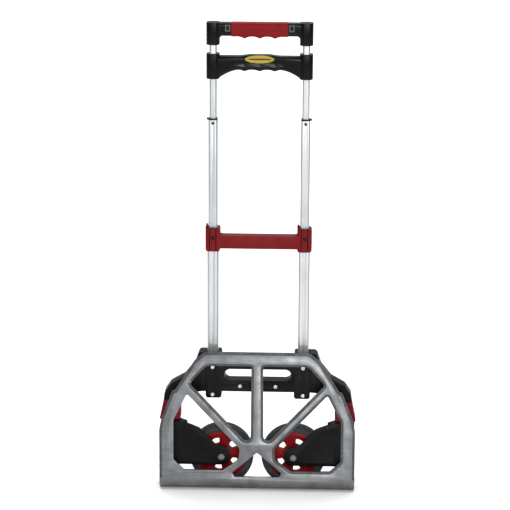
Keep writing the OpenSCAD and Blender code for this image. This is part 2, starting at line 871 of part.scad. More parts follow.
module badge() {
    color([0.75, 0.65, 0.1]) at_tubes() badge_plate();
}

// ---------------------------------------------------------------- release rods and locks

rod_wire_r = 1.5;
tongue_reach = 2.2;
lock_ramp = 0.25;
ramp_top = lock_z + 4;
ramp_z = lock_z - release_travel - 5;
spring_top = upper_z + 62;
spring_h = 30;
stop_h = 4;

// Steel rod inside the upper tube, with an eye on the tongue and a ramp through the lock pin
module release_rod() {
    translate([tube_x, 0, ramp_top - 0.5])
        cylinder(h = tongue_z - tongue_h / 2 - ramp_top + 0.5, r = rod_wire_r);
    tube_block(2 * 3.6, 2 * 3.6, 0, tongue_z - tongue_h / 2 - 3, tongue_z - tongue_h / 2);
    translate([tube_x, 0, spring_top - spring_h - stop_h])
        cylinder(h = stop_h, r = 4.2);
    translate([tube_x - rod_wire_r, 0, 0])
        rotate([90, 0, 90])
            linear_extrude(2 * rod_wire_r)
                polygon([
                    [-rod_wire_r, ramp_top], [-rod_wire_r - (ramp_top - ramp_z) * lock_ramp, ramp_z],
                    [rod_wire_r - (ramp_top - ramp_z) * lock_ramp, ramp_z], [rod_wire_r, ramp_top]]);
}

module release_rod_left() {
    color(steel) at_tubes() on_side(-1) release_rod();
}

module release_rod_right() {
    color(steel) at_tubes() on_side(1) release_rod();
}

// Return spring around the rod, between the rod's stop and the plate across the tube
module return_spring() {
    wire_r = 0.6;
    translate([tube_x, 0, 0])
        coil(3.4, wire_r, spring_top - spring_h, spring_top, 7);
}

module return_spring_left() {
    color(steel) at_tubes() on_side(-1) return_spring();
}

module return_spring_right() {
    color(steel) at_tubes() on_side(1) return_spring();
}

// Black lock housing in the foot of the upper tube, bored for the lock pin
lock_foot = 14;
lock_box_d = upper_d + 2 * skirt_t;

module lock_housing() {
    difference() {
        union() {
            tube_block(upper_w, lock_box_d, 2.2, upper_z - lock_foot, upper_z);
            tube_block(bore_w, bore_d, 1.8, upper_z - 1, upper_z + 18);
        }
        rod_y(tube_x, lock_z, -lock_box_d, lock_box_d, lock_r + run);
        box(tube_x - rod_wire_r - slide, tube_x + rod_wire_r + slide, -rod_wire_r - 6,
            rod_wire_r + slide, upper_z - lock_foot - 1, upper_z + 19);
    }
    difference() {
        tube_block(bore_w, bore_d, 1.8, spring_top, spring_top + 3);
        translate([tube_x, 0, spring_top - 1])
            cylinder(h = 5, r = rod_wire_r + slide);
    }
}

module lock_housing_left() {
    color(black_plastic) at_tubes() on_side(-1) lock_housing();
}

module lock_housing_right() {
    color(black_plastic) at_tubes() on_side(1) lock_housing();
}

// Lock pin: its window rides on the ramp of the rod, which draws it in as the rod rises
pin_shift = -(ramp_top - lock_z) * lock_ramp;

module lock_pin() {
    window = 2 * rod_wire_r + 2 * lock_r * lock_ramp + 2 * slide;
    difference() {
        rod_y(tube_x, lock_z, pin_shift - window / 2 - 1.5, upper_d / 2 + skirt_t, lock_r);
        box(tube_x - rod_wire_r - slide, tube_x + rod_wire_r + slide,
            pin_shift - window / 2, pin_shift + window / 2, lock_z - 5, lock_z + 5);
    }
}

module lock_pin_left() {
    color(steel) at_tubes() on_side(-1) lock_pin();
}

module lock_pin_right() {
    color(steel) at_tubes() on_side(1) lock_pin();
}

// ---------------------------------------------------------------- toe plate

// Half outline of the plate, from the hinge line up the side to the middle of the top
plate_line = [
    [plate_x, hinge_z, 0], [plate_x, plate_top - 160, 40], [plate_x - 5, plate_top - 136, 40],
    [plate_x - 26, plate_top - 81, 3], [plate_x - 32, plate_top - 79, 2],
    [plate_x - 70, plate_top - 18, 14], [plate_x - 90, plate_top, 26]];

// The slanted ribs rise at brace_angle from the foot of the upright rib
brace_angle = 47.2;
brace_foot_z = foot_band_h + 48.5;
brace_rise = tan(brace_angle);
brace_drop = brace_w / cos(brace_angle);

upper_window = [
    [rib_w / 2, brace_foot_z, 9],
    [plate_x - border_w - 32.5, brace_foot_z + (plate_x - border_w - 32.5 - rib_w / 2) * brace_rise, 6],
    [plate_x - border_w - 65, plate_top - border_w, 20],
    [rib_w / 2 - 1, plate_top - border_w, 3]];

window_tip_x = plate_x - border_w - 27;
lower_window = [
    [68, foot_band_h, 5], [plate_x - border_w - 21, foot_band_h, 6],
    [plate_x - border_w, foot_band_h + 21, 6],
    [plate_x - border_w, foot_band_h + 103, 20],
    [window_tip_x, brace_foot_z - brace_drop + (window_tip_x - rib_w / 2) * brace_rise, 3],
    [34, brace_foot_z - brace_drop + (34 - rib_w / 2) * brace_rise, 10],
    [36.5, foot_band_h + 22, 7]];

foot_window_z = hinge_z + 8.5;
foot_window = [
    [-44, foot_window_z, 2], [44, foot_window_z, 2], [49, foot_window_z + 9, 2],
    [0, foot_band_h + 38, 4], [-49, foot_window_z + 9, 2]];

module plate_cut(d) {
    for (side = [-1, 1])
        on_side(side) {
            polygon(rounded(grown(upper_window, d)));
            polygon(rounded(grown(lower_window, d)));
        }
    polygon(rounded(grown(foot_window, d)));
}

knuckle_x = [62, plate_x - 45.5];
knuckle_l = 16;
knuckle_r = rod_r + 4.5;
bush_r = rod_r + 1.6;

// Cast aluminium toe plate: a web with raised bands, a rolled heel and four hinge knuckles
module toe_plate() {
    full_line = concat(plate_line, mirrored(plate_line));
    color(cast_aluminium) at_tubes() difference() {
        union() {
            translate([0, plate_full_t - front_reach, 0])
                rotate([90, 0, 0]) {
                    linear_extrude(plate_t)
                        difference() {
                            polygon(rounded(full_line));
                            plate_cut(0);
                        }
                    linear_extrude(plate_full_t)
                        difference() {
                            polygon(rounded(grown(full_line, -rim_w)));
                            plate_cut(rim_w);
                        }
                }
            along_x(-plate_x, plate_x, concat(
                arc([hinge_y, hinge_z], heel_r, 180, 275, 16),
                arc([hinge_y, hinge_z], heel_r - plate_full_t, 275, 180, 16)));
            along_x(-plate_x, plate_x, [
                [-front_reach, hinge_z - 0.01], [plate_full_t - front_reach, hinge_z - 0.01],
                [plate_full_t - front_reach, hinge_z + rim_w + 0.5], [-front_reach, hinge_z + rim_w + 0.5]]);
            for (side = [-1, 1], x = knuckle_x)
                on_side(side) {
                    rod_x(hinge_y, hinge_z, x - knuckle_l / 2, x + knuckle_l / 2, knuckle_r);
                    box(x - knuckle_l / 2, x + knuckle_l / 2, plate_t - front_reach, hinge_y,
                        hinge_z - 5, hinge_z + 5);
                }
        }
        for (side = [-1, 1], x = knuckle_x)
            on_side(side)
                rod_x(hinge_y, hinge_z, x - knuckle_l / 2 - 1, x + knuckle_l / 2 + 1, bush_r);
    }
}

module hinge_bushes() {
    color(nylon) at_tubes() for (side = [-1, 1], x = knuckle_x)
        on_side(side) difference() {
            rod_x(hinge_y, hinge_z, x - knuckle_l / 2 - 1, x + knuckle_l / 2 + 1, bush_r);
            rod_x(hinge_y, hinge_z, x - knuckle_l, x + knuckle_l, rod_r + run);
        }
}

// ---------------------------------------------------------------- wheel carriers

arm_t = 5;
arm_back = -tyre_w / 2 - 3;
arm_front = arm_back - arm_t;
boss_r = 17;
barrel_bore = pin_d / 2 + 1.6;

// Black carrier: a barrel on the swing pin and an arm in front of the wheel
carrier_line = [
    [wheel_x - boss_r, wheel_z - boss_r, 14], [pin_x + barrel_r - 1, wheel_z - boss_r, 2],
    [pin_x + barrel_r - 1, barrel_top, 2], [pin_x - 21, barrel_top, 5],
    [pin_x - 56, barrel_top - 14, 12], [wheel_x + 14, wheel_z + boss_r + 9, 16],
    [wheel_x - boss_r, wheel_z + boss_r, 15]];

module wheel_carrier() {
    difference() {
        union() {
            upright(arm_front, arm_back, rounded(carrier_line));
            translate([pin_x, 0, barrel_z])
                cylinder(h = barrel_h, r = barrel_r);
            box(pin_x - barrel_r, pin_x + barrel_r - 1, arm_back - 1, 0, barrel_z, barrel_top);
            for (z = [barrel_z, (barrel_z + barrel_top) / 2 - 2, barrel_top - 4])
                upright_rib(z);
            rod_y(wheel_x, wheel_z, arm_front - 1.2, arm_back + 1, 10);
        }
        translate([pin_x, 0, barrel_z - 1])
            cylinder(h = barrel_h + 2, r = barrel_bore);
        rod_y(wheel_x, wheel_z, arm_front - 2, arm_back + 2, axle_d / 2);
        upright(arm_front - 1, arm_front + 1.2, rounded([
            [wheel_x + 24, wheel_z - 10, 3], [pin_x - 18, wheel_z - 10, 3],
            [pin_x - 18, barrel_top - 12, 6], [pin_x - 48, barrel_top - 24, 8],
            [wheel_x + 24, wheel_z + 14, 6]]));
    }
}

// Flat rib that ties the barrel to the arm
module upright_rib(z) {
    translate([0, 0, z])
        linear_extrude(4)
            polygon([
                [pin_x - 2, barrel_r - 4], [pin_x - 2, arm_back - 0.5],
                [pin_x - 32, arm_back - 0.5], [pin_x - 30, arm_back + 3], [pin_x - barrel_r, 4]]);
}

module wheel_carrier_left() {
    color(black_plastic) at_tubes() on_side(-1) wheel_carrier();
}

module wheel_carrier_right() {
    color(black_plastic) at_tubes() on_side(1) wheel_carrier();
}

// Flanged nylon bushes pressed into both ends of the barrel
module carrier_bushes() {
    for (top = [0, 1])
        translate([pin_x, 0, top * (2 * barrel_z + barrel_h)])
            mirror([0, 0, top])
                difference() {
                    union() {
                        translate([0, 0, barrel_z - bush_flange])
                            cylinder(h = bush_flange, r = barrel_bore + 2);
                        translate([0, 0, barrel_z - 0.5])
                            cylinder(h = 15.5, r = barrel_bore);
                    }
                    translate([0, 0, barrel_z - 5])
                        cylinder(h = 30, r = pin_d / 2 + run);
                }
}

module carrier_bushes_left() {
    color(nylon) at_tubes() on_side(-1) carrier_bushes();
}

module carrier_bushes_right() {
    color(nylon) at_tubes() on_side(1) carrier_bushes();
}

// Axle bolt with a domed head in front of the carrier's arm, and a nut on a washer behind the wheel
axle_head_r = 6.5;
axle_seat = arm_front - 1.2;
nut_face = tyre_w / 2 + 1;

module axle() {
    rod_y(wheel_x, wheel_z, axle_seat - 3, axle_seat, axle_head_r);
    rod_y(wheel_x, wheel_z, axle_seat - 5, axle_seat - 2.5, axle_head_r - 2);
    rod_y(wheel_x, wheel_z, axle_seat - 0.5, back_reach - 0.4, axle_d / 2);
}

module axle_left() {
    color(steel) at_tubes() on_side(-1) axle();
}

module axle_right() {
    color(steel) at_tubes() on_side(1) axle();
}

module axle_nut() {
    difference() {
        union() {
            rod_y(wheel_x, wheel_z, nut_face, nut_face + 1.2, axle_d / 2 + 5);
            translate([wheel_x, nut_face + 1, wheel_z])
                rotate([-90, 0, 0])
                    cylinder(h = back_reach - nut_face - 1, r = axle_d / 2 + 3.8, $fn = 6);
        }
        rod_y(wheel_x, wheel_z, nut_face - 1, back_reach + 1, axle_d / 2);
    }
}

module axle_nut_left() {
    color(steel) at_tubes() on_side(-1) axle_nut();
}

module axle_nut_right() {
    color(steel) at_tubes() on_side(1) axle_nut();
}

// ---------------------------------------------------------------- wheels

rim_r = wheel_r - tyre_t;
rim_w2 = tyre_w / 2 - 2;
bearing_r = axle_d / 2 + 3;
hub_r = bearing_r + 6;
spokes = 5;

// Places what it holds at the centre of the wheel, with its axis along the axle
module at_wheel() {
    translate([wheel_x, 0, wheel_z])
        rotate([90, 0, 0])
            children();
}

// Red rim with a thin web, five openings and a deep hub
module rim() {
    // The openings keep their shape when the web gets narrower or wider
    unit = (rim_r - 8 - hub_r) / 27;
    open_in = hub_r + 8.5 * unit;
    open_out = hub_r + 20.5 * unit;
    open_side = open_out - 2 * unit;
    at_wheel() difference() {
        rotate_extrude(convexity = 6)
            polygon([
                [bearing_r, -tyre_w / 2], [hub_r, -tyre_w / 2], [hub_r, -4], [rim_r - 8, -4],
                [rim_r - 6, -rim_w2], [rim_r, -rim_w2], [rim_r, rim_w2], [rim_r - 6, rim_w2],
                [rim_r - 8, 4], [hub_r, 4], [hub_r, tyre_w / 2], [bearing_r, tyre_w / 2]]);
        for (i = [0:spokes - 1])
            rotate(i * 360 / spokes + 67)
                translate([0, 0, -10])
                    linear_extrude(20)
                        polygon(rounded([
                            [open_in, -4.5 * unit, 2 * unit], [open_side, -8.5 * unit, 2.5 * unit],
                            [open_out, 0, 10 * unit],
                            [open_side, 8.5 * unit, 2.5 * unit], [open_in, 4.5 * unit, 2 * unit]]));
    }
}

module rim_left() {
    color(red_plastic) at_tubes() on_side(-1) rim();
}

module rim_right() {
    color(red_plastic) at_tubes() on_side(1) rim();
}

module tyre() {
    groove = 1.2;
    at_wheel() rotate_extrude(convexity = 6)
        polygon([
            [rim_r, -rim_w2], [rim_r + 2, -tyre_w / 2], [wheel_r - 6, -tyre_w / 2],
            [wheel_r - 2, 3 - tyre_w / 2], [wheel_r, 6 - tyre_w / 2], [wheel_r, -4], [wheel_r - groove, -3.4],
            [wheel_r - groove, -2.6], [wheel_r, -2], [wheel_r, 2], [wheel_r - groove, 2.6],
            [wheel_r - groove, 3.4], [wheel_r, 4], [wheel_r, tyre_w / 2 - 6], [wheel_r - 2, tyre_w / 2 - 3],
            [wheel_r - 6, tyre_w / 2], [rim_r + 2, tyre_w / 2], [rim_r, rim_w2]]);
}

module tyre_left() {
    color(tyre_grey) at_tubes() on_side(-1) tyre();
}

module tyre_right() {
    color(tyre_grey) at_tubes() on_side(1) tyre();
}

// Plain bearing in the hub; its front flange runs on the carrier and its back flange on the washer
module wheel_bearing() {
    difference() {
        union() {
            rod_y(wheel_x, wheel_z, arm_back + 1 + slide, nut_face - slide, bearing_r);
            rod_y(wheel_x, wheel_z, arm_back + 1 + slide, -tyre_w / 2, bearing_r + 3);
            rod_y(wheel_x, wheel_z, tyre_w / 2, nut_face - slide, bearing_r + 3);
        }
        rod_y(wheel_x, wheel_z, -tyre_w, tyre_w, axle_d / 2 + run);
    }
}

module wheel_bearing_left() {
    color(nylon) at_tubes() on_side(-1) wheel_bearing();
}

module wheel_bearing_right() {
    color(nylon) at_tubes() on_side(1) wheel_bearing();
}

base_crosspiece();
shoulder_left();
shoulder_right();
pivot_housing_left();
pivot_housing_right();
side_leg_left();
side_leg_right();
lower_tube_left();
lower_tube_right();
lower_guides();
crossbar();
crossbar_screws();
base_screws();
bracket_bolts();
hinge_rod();
rod_clips();
swing_pin_left();
swing_pin_right();
swing_spring_left();
swing_spring_right();
middle_tube_left();
middle_tube_right();
collar_left();
collar_right();
middle_plugs();
upper_tube_left();
upper_tube_right();
top_handle();
grip();
handle_inserts();
handle_screws();
lock_housing_left();
lock_housing_right();
return_spring_left();
return_spring_right();
release_bar();
badge();
release_rod_left();
release_rod_right();
lock_pin_left();
lock_pin_right();
toe_plate();
hinge_bushes();
wheel_carrier_left();
wheel_carrier_right();
carrier_bushes_left();
carrier_bushes_right();
axle_left();
axle_right();
axle_nut_left();
axle_nut_right();
rim_left();
rim_right();
tyre_left();
tyre_right();
wheel_bearing_left();
wheel_bearing_right();
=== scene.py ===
import json
import math

import bpy
from mathutils import Euler, Matrix, Vector

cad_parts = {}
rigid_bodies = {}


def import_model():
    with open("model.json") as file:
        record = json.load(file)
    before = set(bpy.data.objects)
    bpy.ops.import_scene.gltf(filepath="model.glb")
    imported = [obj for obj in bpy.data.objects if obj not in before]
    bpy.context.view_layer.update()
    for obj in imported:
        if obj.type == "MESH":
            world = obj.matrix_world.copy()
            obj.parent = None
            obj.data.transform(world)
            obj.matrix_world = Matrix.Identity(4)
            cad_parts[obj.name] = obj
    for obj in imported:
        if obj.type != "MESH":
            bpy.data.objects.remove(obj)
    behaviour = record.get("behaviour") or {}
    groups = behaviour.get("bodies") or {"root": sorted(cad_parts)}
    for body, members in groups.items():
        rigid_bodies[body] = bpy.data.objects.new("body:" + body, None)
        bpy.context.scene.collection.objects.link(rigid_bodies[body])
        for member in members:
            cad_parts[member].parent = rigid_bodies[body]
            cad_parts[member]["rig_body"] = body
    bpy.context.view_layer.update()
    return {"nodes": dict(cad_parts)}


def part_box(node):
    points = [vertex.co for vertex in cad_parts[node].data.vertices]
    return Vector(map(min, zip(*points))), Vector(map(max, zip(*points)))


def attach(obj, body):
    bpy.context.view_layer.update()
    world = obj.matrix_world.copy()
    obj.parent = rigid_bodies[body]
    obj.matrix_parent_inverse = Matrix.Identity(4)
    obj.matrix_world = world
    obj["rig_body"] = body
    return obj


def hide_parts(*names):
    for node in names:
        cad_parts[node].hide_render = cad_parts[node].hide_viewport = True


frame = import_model()

# --- Base crosspiece: two tube sockets and a deep bar with a slot for the hand.
# Injection-moulded black polypropylene from one tool, so every outer edge has a small
# radius, and a fine spark-eroded grain takes the shine off the faces.
MM = 0.001
MERGE_WITHIN = 0.004 * MM
FLAT_WITHIN = math.radians(0.6)
# Sockets of a Mix node that mixes colours
MIX_SHARE, MIX_FIRST, MIX_SECOND, MIX_COLOUR = 0, 6, 7, 2


def linear(code):
    """Linear colour from an sRGB hex code."""
    parts = [int(code[i:i + 2], 16) / 255 for i in (1, 3, 5)]
    return [c / 12.92 if c <= 0.04045 else ((c + 0.055) / 1.055) ** 2.4 for c in parts] + [1.0]


def add(tree, kind, settings, links):
    """Adds a node, sets its properties and sockets, and joins its inputs to other outputs."""
    node = tree.nodes.new(kind)
    for name, value in settings.items():
        if isinstance(name, int) or name in node.inputs:
            node.inputs[name].default_value = value
        else:
            setattr(node, name, value)
    for name, output in links.items():
        tree.links.new(output, node.inputs[name])
    return node


def start_finish(name):
    """New material, with its node tree and the place on the piece in metres."""
    material = bpy.data.materials.new(name)
    material.use_nodes = True
    place = add(material.node_tree, "ShaderNodeTexCoord", {}, {}).outputs["Object"]
    return material, material.node_tree, place


def end_finish(tree, tone, gloss, bump):
    """Joins the last nodes of a pattern to the shader, and returns the shader."""
    shader = tree.nodes["Principled BSDF"]
    tree.links.new(tone.outputs[MIX_COLOUR], shader.inputs["Base Color"])
    tree.links.new(gloss.outputs["Result"], shader.inputs["Roughness"])
    tree.links.new(bump.outputs["Normal"], shader.inputs["Normal"])
    return shader


def moulded_plastic(name, colour, faded, roughness, spread, grain, depth, sheen=0.1):
    """Plastic with patches faded by light and handling. Its grain and depth are in mm."""
    patch_size, smear_size = 28 * MM, 9 * MM
    material, tree, place = start_finish(name)
    patches = add(tree, "ShaderNodeTexNoise", {"Scale": 1 / patch_size, "Detail": 5.0},
                  {"Vector": place})
    faint = add(tree, "ShaderNodeMapRange", {"From Min": 0.42, "From Max": 0.75},
                {"Value": patches.outputs["Fac"]})
    tone = add(tree, "ShaderNodeMix",
               {"data_type": "RGBA", MIX_FIRST: linear(colour), MIX_SECOND: linear(faded)},
               {MIX_SHARE: faint.outputs["Result"]})
    smears = add(tree, "ShaderNodeTexNoise", {"Scale": 1 / smear_size, "Detail": 3.0},
                 {"Vector": place})
    gloss = add(tree, "ShaderNodeMapRange",
                {"From Min": 0.3, "From Max": 0.7,
                 "To Min": roughness - spread, "To Max": roughness + spread},
                {"Value": smears.outputs["Fac"]})
    # A real spark-eroded grain is much finer, and wouldn't show
    sparks = add(tree, "ShaderNodeTexNoise", {"Scale": 1 / (grain * MM), "Detail": 2.0},
                 {"Vector": place})
    bump = add(tree, "ShaderNodeBump", {"Strength": 0.5, "Distance": depth * MM},
               {"Height": sparks.outputs["Fac"]})
    shader = end_finish(tree, tone, gloss, bump)
    shader.inputs["IOR"].default_value = 1.49
    shader.inputs["Specular IOR Level"].default_value = sheen
    return material


def select_only(piece):
    """Makes one object the only selected one and the active one."""
    bpy.ops.object.select_all(action="DESELECT")
    piece.select_set(True)
    bpy.context.view_layer.objects.active = piece


def from_cad(node, name):
    """Merged copy of a CAD node that rides where it rides and stands for it."""
    cad = frame["nodes"][node]
    piece = bpy.data.objects.new(name, cad.data.copy())
    bpy.context.scene.collection.objects.link(piece)
    select_only(piece)
    bpy.ops.mesh.customdata_custom_splitnormals_clear()
    bpy.ops.object.mode_set(mode="EDIT")
    bpy.ops.mesh.select_all(action="SELECT")
    bpy.ops.mesh.remove_doubles(threshold=MERGE_WITHIN)
    bpy.ops.mesh.dissolve_limited(angle_limit=FLAT_WITHIN, delimit=set())
    bpy.ops.object.mode_set(mode="OBJECT")
    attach(piece, cad["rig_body"])
    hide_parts(node)
    return piece


def soften(piece, radius, segments, sharp=40, smooth=38):
    """Rounds the edges that turn by more than the sharp angle, and smooths what is left."""
    select_only(piece)
    bevel = piece.modifiers.new("rounded edges", "BEVEL")
    bevel.width = radius
    bevel.segments = segments
    bevel.limit_method = "ANGLE"
    bevel.angle_limit = math.radians(sharp)
    bpy.ops.object.modifier_apply(modifier=bevel.name)
    bpy.ops.object.shade_smooth_by_angle(angle=math.radians(smooth))


def paint(piece, material):
    """Gives a piece its only material."""
    piece.data.materials.clear()
    piece.data.materials.append(material)


def dress(node, name, material, slot, radius, segments, **angles):
    """Copy of a CAD node with its edges rounded and its finish on."""
    piece = from_cad(node, name)
    soften(piece, radius, segments, **angles)
    paint(piece, material)
    return piece


# Satin black, hardly lighter where it has faded
black_polypropylene = moulded_plastic("black_polypropylene", "#050506", "#0b0c0d",
                                      0.42, 0.07, 0.9, 0.04)
dress("base_crosspiece", "crosspiece_moulding", black_polypropylene, "black_plastic", 0.9 * MM, 3)

# --- Shoulders: the two wings that carry the load from the sockets out to the swing pins.
# The same black polypropylene as the crosspiece, bolted to it, open at the back.
for side in ("left", "right"):
    dress(f"shoulder_{side}", f"shoulder_{side}_moulding",
          black_polypropylene, "black_plastic", 1.0 * MM, 3)

# --- Pivot housings: solid red blocks under the shoulders that hold the tops of the swing
# pins. Glass-filled ABS with three shallow grooves across the front.
# The glass fibres in the skin leave this red dull and even
red_abs = moulded_plastic("red_moulded_abs", "#620b10", "#6c1115", 0.46, 0.08, 1.1, 0.05)
for side in ("left", "right"):
    dress(f"pivot_housing_{side}", f"pivot_housing_{side}_moulding",
          red_abs, "red_plastic", 0.8 * MM, 3)

# --- Side legs: black webs from the housings down to the hinge rod, which carry the lower
# ears of the swing pins. Moulded in the crosspiece's polypropylene, and each screwed up
# into its housing.
for side in ("left", "right"):
    dress(f"side_leg_{side}", f"side_leg_{side}_moulding",
          black_polypropylene, "black_plastic", 0.7 * MM, 3)

# --- Fasteners, pins and rods: turned and cold-headed steel. Most have a bright zinc plate,
# the axles and their nuts a dulled one, and the crossbar's screws are blackened.


def bare_metal(name, colour, dull, roughness, spread, streak, across, depth):
    """Metal with streaks of a given size along x, y and z and cloudy dull patches, in mm."""
    material, tree, place = start_finish(name)
    stretched = add(tree, "ShaderNodeMapping", {"Scale": [1 / (size * MM) for size in streak]},
                    {"Vector": place})
    lines = add(tree, "ShaderNodeTexNoise", {"Scale": 1.0, "Detail": 3.0},
                {"Vector": stretched.outputs["Vector"]})
    clouds = add(tree, "ShaderNodeTexNoise", {"Scale": 1 / (across * MM), "Detail": 4.0},
                 {"Vector": place})
    # Half of the lines, added to the clouds
    mixed = add(tree, "ShaderNodeMath", {"operation": "MULTIPLY_ADD", 1: 0.5},
                {0: lines.outputs["Fac"], 2: clouds.outputs["Fac"]})
    bright = add(tree, "ShaderNodeMapRange", {"From Min": 0.5, "From Max": 1.0},
                 {"Value": mixed.outputs["Value"]})
    tone = add(tree, "ShaderNodeMix",
               {"data_type": "RGBA", MIX_FIRST: linear(dull), MIX_SECOND: linear(colour)},
               {MIX_SHARE: bright.outputs["Result"]})
    gloss = add(tree, "ShaderNodeMapRange",
                {"From Min": 0.5, "From Max": 1.0,
                 "To Min": roughness + spread, "To Max": roughness - spread},
                {"Value": mixed.outputs["Value"]})
    bump = add(tree, "ShaderNodeBump", {"Strength": 0.4, "Distance": depth * MM},
               {"Height": lines.outputs["Fac"]})
    shader = end_finish(tree, tone, gloss, bump)
    shader.inputs["Metallic"].default_value = 1.0
    return material


# Specks of the plated and blackened skins, drawn coarser than the real ones, so they show
SPECKS = (1.2, 1.2, 1.2)
# A thin passivated plate: satin, with faint grey clouds
zinc_plate = bare_metal("zinc_plated_steel", "#b9bcc0", "#8f9296", 0.34, 0.08, SPECKS, 6, 0.02)
for node in ("base_screws", "handle_screws", "bracket_bolts", "hinge_rod", "rod_clips",
             "swing_pin_left", "swing_pin_right", "release_rod_left", "release_rod_right",
             "lock_pin_left", "lock_pin_right"):
    dress(node, f"{node}_plated", zinc_plate, "zinc_steel", 0.3 * MM, 2)
# The same plate greyed by dust and handling beside the wheels
dull_zinc = bare_metal("dulled_zinc_steel", "#757779", "#585a5c", 0.5, 0.07, SPECKS, 5, 0.02)
for node in ("axle_left", "axle_right", "axle_nut_left", "axle_nut_right"):
    dress(node, f"{node}_dulled", dull_zinc, "zinc_steel", 0.5 * MM, 3)
# Chemically blackened and oiled: nearly black, with a grey sheen
black_oxide = bare_metal("black_oxide_steel", "#232324", "#161617", 0.45, 0.06, SPECKS, 5, 0.02)
dress("crossbar_screws", "crossbar_screws_blackened", black_oxide, "spring_steel", 0.3 * MM, 2)

# --- Springs: torsion springs round the swing pins and return springs inside the upper
# tubes, wound from round hard-drawn steel wire. The wire has no edges to round, so the
# turns stay as they come, oiled and a little darker than the plated parts.
spring_wire = bare_metal("drawn_spring_wire", "#8d8f93", "#5f6164", 0.38, 0.08, (0.8, 0.8, 3),
                         4, 0.01)
for node in ("swing_spring_left", "swing_spring_right", "return_spring_left",
             "return_spring_right"):
    frame["nodes"][node].data.materials[0] = spring_wire

# --- Telescopic tubes: extruded aluminium, brushed lightly along its length and clear
# anodised, which leaves it pale and silky. The brush lines are drawn 1.4 mm apart, coarser
# than the real ones, so that they show.
anodised = bare_metal("clear_anodised_aluminium", "#aeb1b3", "#a4a7a9", 0.52, 0.03,
                      (1.4, 1.4, 160), 60, 0.004)
for stage in ("lower", "middle", "upper"):
    for side in ("left", "right"):
        dress(f"{stage}_tube_{side}", f"{stage}_tube_{side}_extrusion",
              anodised, "tube_aluminium", 0.25 * MM, 2, sharp=50)

# --- Guides, collars, glide plugs and lock housings: black acetal, smoother and waxier
# than the base because they run on the tubes.
black_acetal = moulded_plastic("black_acetal", "#101113", "#18191b", 0.34, 0.05, 0.7, 0.02)
for node in ("lower_guides", "collar_left", "collar_right", "middle_plugs",
             "lock_housing_left", "lock_housing_right"):
    dress(node, f"{node}_acetal", black_acetal, "black_plastic", 0.25 * MM, 2)

# --- Crossbar: a red ABS moulding that holds the tops of the lower tubes together. Its two
# clamps have round corners and two pairs of flutes down the front, beside a sunk black screw.
TINY = 1e-6
Y_AXIS, Z_AXIS = 1, 2


def unpick(piece, kinds):
    """Clears a mesh's selection, and sets which of points, edges and faces are picked."""
    bpy.context.tool_settings.mesh_select_mode = kinds
    for parts in (piece.data.vertices, piece.data.edges, piece.data.polygons):
        parts.foreach_set("select", [False] * len(parts))


def pick_edges(piece, wanted):
    """Opens a piece in edit mode with only the wanted edges selected."""
    unpick(piece, (False, True, False))
    for edge in piece.data.edges:
        edge.select = wanted(*[piece.data.vertices[i].co for i in edge.vertices])
    bpy.ops.object.mode_set(mode="EDIT")


def plain_block(name, low, high):
    """Block between two corners, with its place in its mesh."""
    bpy.ops.object.select_all(action="DESELECT")
    bpy.ops.mesh.primitive_cube_add(size=1, location=(low + high) / 2, scale=high - low)
    piece = bpy.context.object
    piece.name = name
    bpy.ops.object.transform_apply(location=True, rotation=True, scale=True)
    return piece


def rounded_block(name, low, high, along, corner, segments):
    """Block whose four edges along one axis are rounded."""
    piece = plain_block(name, low, high)
    pick_edges(piece, lambda a, b: abs(a[along] - b[along]) > TINY)
    bpy.ops.mesh.bevel(offset=corner, segments=segments, affect="EDGES")
    bpy.ops.object.mode_set(mode="OBJECT")
    return piece


def join_solid(piece, other, operation):
    """Adds another solid to a piece, cuts it out or keeps what they share, and deletes it."""
    select_only(piece)
    solid = piece.modifiers.new("solid", "BOOLEAN")
    solid.operation = operation
    solid.solver = "EXACT"
    solid.object = other
    bpy.ops.object.modifier_apply(modifier=solid.name)
    bpy.data.objects.remove(other)


crossbar = from_cad("crossbar", "crossbar_moulding")
cross_low, cross_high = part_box("crossbar")
lower_low, lower_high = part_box("lower_tube_right")
clamp_x = (lower_low.x + lower_high.x) / 2
clamp_half = cross_high.x - clamp_x
ear_w, ear_h = 4.4 * MM, 4 * MM
clamp_top = cross_high.z - ear_h
clamp_corner = 4.5 * MM
cross_corner = 1 * MM
flute_radius, flute_offset, flute_ahead = 1.7 * MM, 6.4 * MM, 0.5 * MM
flute_cutter = 200 * MM
front_y, back_y = cross_low.y - 1 * MM, cross_high.y + 1 * MM
# The outline with its round corners is a solid of its own, and the moulding is trimmed to it
envelope = rounded_block("envelope",
                         Vector((-clamp_x, front_y, cross_low.z + clamp_corner)),
                         Vector((clamp_x, back_y, clamp_top - clamp_corner)),
                         Y_AXIS, cross_corner, 2)
for side in (-1, 1):
    left = side * clamp_x - clamp_half
    clamp = rounded_block("clamp", Vector((left, front_y, cross_low.z)),
                          Vector((left + 2 * clamp_half, back_y, clamp_top)),
                          Y_AXIS, clamp_corner, 7)
    join_solid(envelope, clamp, "UNION")
    ear = rounded_block("ear", Vector((left, front_y, clamp_top - clamp_corner)),
                        Vector((left + ear_w, back_y, cross_high.z)), Y_AXIS, cross_corner, 3)
    join_solid(envelope, ear, "UNION")
join_solid(crossbar, envelope, "INTERSECT")
for side in (-1, 1):
    for offset in (-flute_offset, flute_offset):
        bpy.ops.mesh.primitive_cylinder_add(
            vertices=24, radius=flute_radius, depth=flute_cutter,
            location=(side * clamp_x + offset, cross_low.y - flute_ahead, clamp_top))
        join_solid(crossbar, bpy.context.object, "DIFFERENCE")
soften(crossbar, 0.8 * MM, 3)
paint(crossbar, red_abs)

